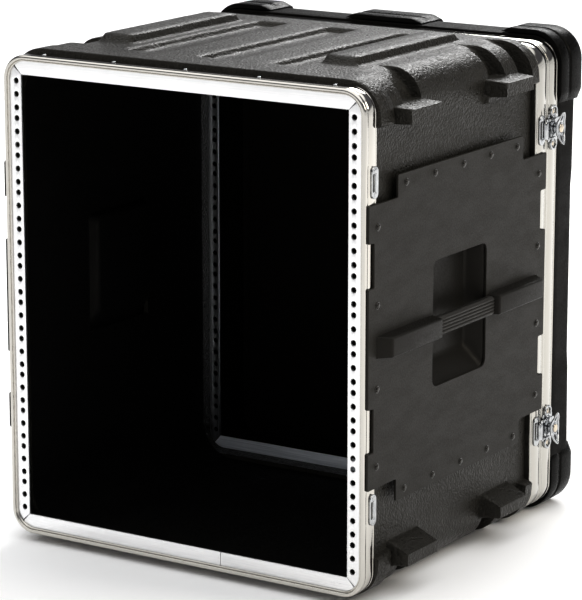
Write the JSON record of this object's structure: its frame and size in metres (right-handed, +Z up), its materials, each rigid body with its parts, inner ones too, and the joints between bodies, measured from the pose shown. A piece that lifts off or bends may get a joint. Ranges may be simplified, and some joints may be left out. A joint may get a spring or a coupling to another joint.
{
  "type": "equipment rack case",
  "caption": "Moulded rack case with aluminium valances, rack rails front and rear, side plates with pull-out grips, and a twist-latched rear lid.",
  "frame": {"origin": "centre of the base, on the surface that the case stands on", "axes": "+X across the rack opening, +Y from the open front towards the rear lid, +Z up"},
  "size_m": [0.54, 0.505, 0.6083],
  "materials": {
    "shell_plastic": "rotomoulded polyethylene with a fine pebble grain",
    "lid_plastic": "moulded polyethylene, finer grain than the body",
    "bumper_plastic": "moulded polyethylene, satin",
    "plate_plastic": "flat satin sheet",
    "handle_plastic": "moulded, satin",
    "rubber": "matt soft rubber",
    "aluminium": "natural extruded aluminium, brushed along its length",
    "zinc_plate": "bright zinc plated steel"
  },
  "bodies": {
    "case": {"body_shell": "shell_plastic", "front_rail_left": "aluminium", "front_rail_right": "aluminium", "front_sill_bottom_left": "aluminium", "front_sill_bottom_right": "aluminium", "front_sill_top": "aluminium", "front_valance": "aluminium", "handle_cap_front_left": "handle_plastic", "handle_cap_front_right": "handle_plastic", "handle_cap_rear_left": "handle_plastic", "handle_cap_rear_right": "handle_plastic", "handle_cup_left": "handle_plastic", "handle_cup_right": "handle_plastic", "keeper_front_lower_left": "zinc_plate", "keeper_front_lower_right": "zinc_plate", "keeper_front_upper_left": "zinc_plate", "keeper_front_upper_right": "zinc_plate", "keeper_rear_lower_left": "zinc_plate", "keeper_rear_lower_right": "zinc_plate", "keeper_rear_upper_left": "zinc_plate", "keeper_rear_upper_right": "zinc_plate", "rear_rail_left": "aluminium", "rear_rail_right": "aluminium", "rear_sill_bottom": "aluminium", "rear_sill_top": "aluminium", "rear_valance": "aluminium", "side_plate_left": "plate_plastic", "side_plate_right": "plate_plastic"},
    "rear_lid": {"latch_base_lower_left": "zinc_plate", "latch_base_lower_right": "zinc_plate", "latch_base_upper_left": "zinc_plate", "latch_base_upper_right": "zinc_plate", "latch_pin_lower_left": "zinc_plate", "latch_pin_lower_right": "zinc_plate", "latch_pin_upper_left": "zinc_plate", "latch_pin_upper_right": "zinc_plate", "lid_bumper_base_middle": "bumper_plastic", "lid_bumper_lower_left": "bumper_plastic", "lid_bumper_lower_right": "bumper_plastic", "lid_bumper_top_middle": "bumper_plastic", "lid_bumper_upper_left": "bumper_plastic", "lid_bumper_upper_right": "bumper_plastic", "lid_gasket": "rubber", "lid_shell": "lid_plastic", "lid_valance": "aluminium"},
    "grip_left": {"grip_left": "rubber"},
    "grip_right": {"grip_right": "rubber"},
    "latch_wing_upper_left": {"latch_wing_upper_left": "zinc_plate"},
    "latch_hook_upper_left": {"latch_hook_upper_left": "zinc_plate"},
    "latch_wing_upper_right": {"latch_wing_upper_right": "zinc_plate"},
    "latch_hook_upper_right": {"latch_hook_upper_right": "zinc_plate"},
    "latch_wing_lower_left": {"latch_wing_lower_left": "zinc_plate"},
    "latch_hook_lower_left": {"latch_hook_lower_left": "zinc_plate"},
    "latch_wing_lower_right": {"latch_wing_lower_right": "zinc_plate"},
    "latch_hook_lower_right": {"latch_hook_lower_right": "zinc_plate"}
  },
  "joints": [
    {"name": "rear_lid_lift_off", "type": "slide", "parent": "case", "child": "rear_lid", "axis": [0, 1, 0], "range_m": [0, 0.15]},
    {"name": "grip_pull_left", "type": "slide", "parent": "case", "child": "grip_left", "axis": [-1, 0, 0], "range_m": [0, 0.0075], "stiffness_N_per_m": 1500},
    {"name": "grip_pull_right", "type": "slide", "parent": "case", "child": "grip_right", "axis": [1, 0, 0], "range_m": [0, 0.0075], "stiffness_N_per_m": 1500},
    {"name": "latch_turn_upper_left", "type": "hinge", "parent": "rear_lid", "child": "latch_wing_upper_left", "pos_m": [-0.261, 0.1795, 0.4892], "axis": [-1, 0, 0], "range_deg": [0, 180]},
    {"name": "latch_hook_slide_upper_left", "type": "slide", "parent": "rear_lid", "child": "latch_hook_upper_left", "axis": [0, -1, 0], "range_m": [0, 0.006]},
    {"name": "latch_turn_upper_right", "type": "hinge", "parent": "rear_lid", "child": "latch_wing_upper_right", "pos_m": [0.261, 0.1795, 0.4892], "axis": [1, 0, 0], "range_deg": [0, 180]},
    {"name": "latch_hook_slide_upper_right", "type": "slide", "parent": "rear_lid", "child": "latch_hook_upper_right", "axis": [0, -1, 0], "range_m": [0, 0.006]},
    {"name": "latch_turn_lower_left", "type": "hinge", "parent": "rear_lid", "child": "latch_wing_lower_left", "pos_m": [-0.261, 0.1795, 0.1142], "axis": [-1, 0, 0], "range_deg": [0, 180]},
    {"name": "latch_hook_slide_lower_left", "type": "slide", "parent": "rear_lid", "child": "latch_hook_lower_left", "axis": [0, -1, 0], "range_m": [0, 0.006]},
    {"name": "latch_turn_lower_right", "type": "hinge", "parent": "rear_lid", "child": "latch_wing_lower_right", "pos_m": [0.261, 0.1795, 0.1142], "axis": [1, 0, 0], "range_deg": [0, 180]},
    {"name": "latch_hook_slide_lower_right", "type": "slide", "parent": "rear_lid", "child": "latch_hook_lower_right", "axis": [0, -1, 0], "range_m": [0, 0.006]}
  ],
  "couplings": [
    {"joint": "latch_hook_slide_upper_left", "follows": "latch_turn_upper_left", "m_per_rad": 0.0019},
    {"joint": "latch_hook_slide_upper_right", "follows": "latch_turn_upper_right", "m_per_rad": 0.0019},
    {"joint": "latch_hook_slide_lower_left", "follows": "latch_turn_lower_left", "m_per_rad": 0.0019},
    {"joint": "latch_hook_slide_lower_right", "follows": "latch_turn_lower_right", "m_per_rad": 0.0019}
  ]
}
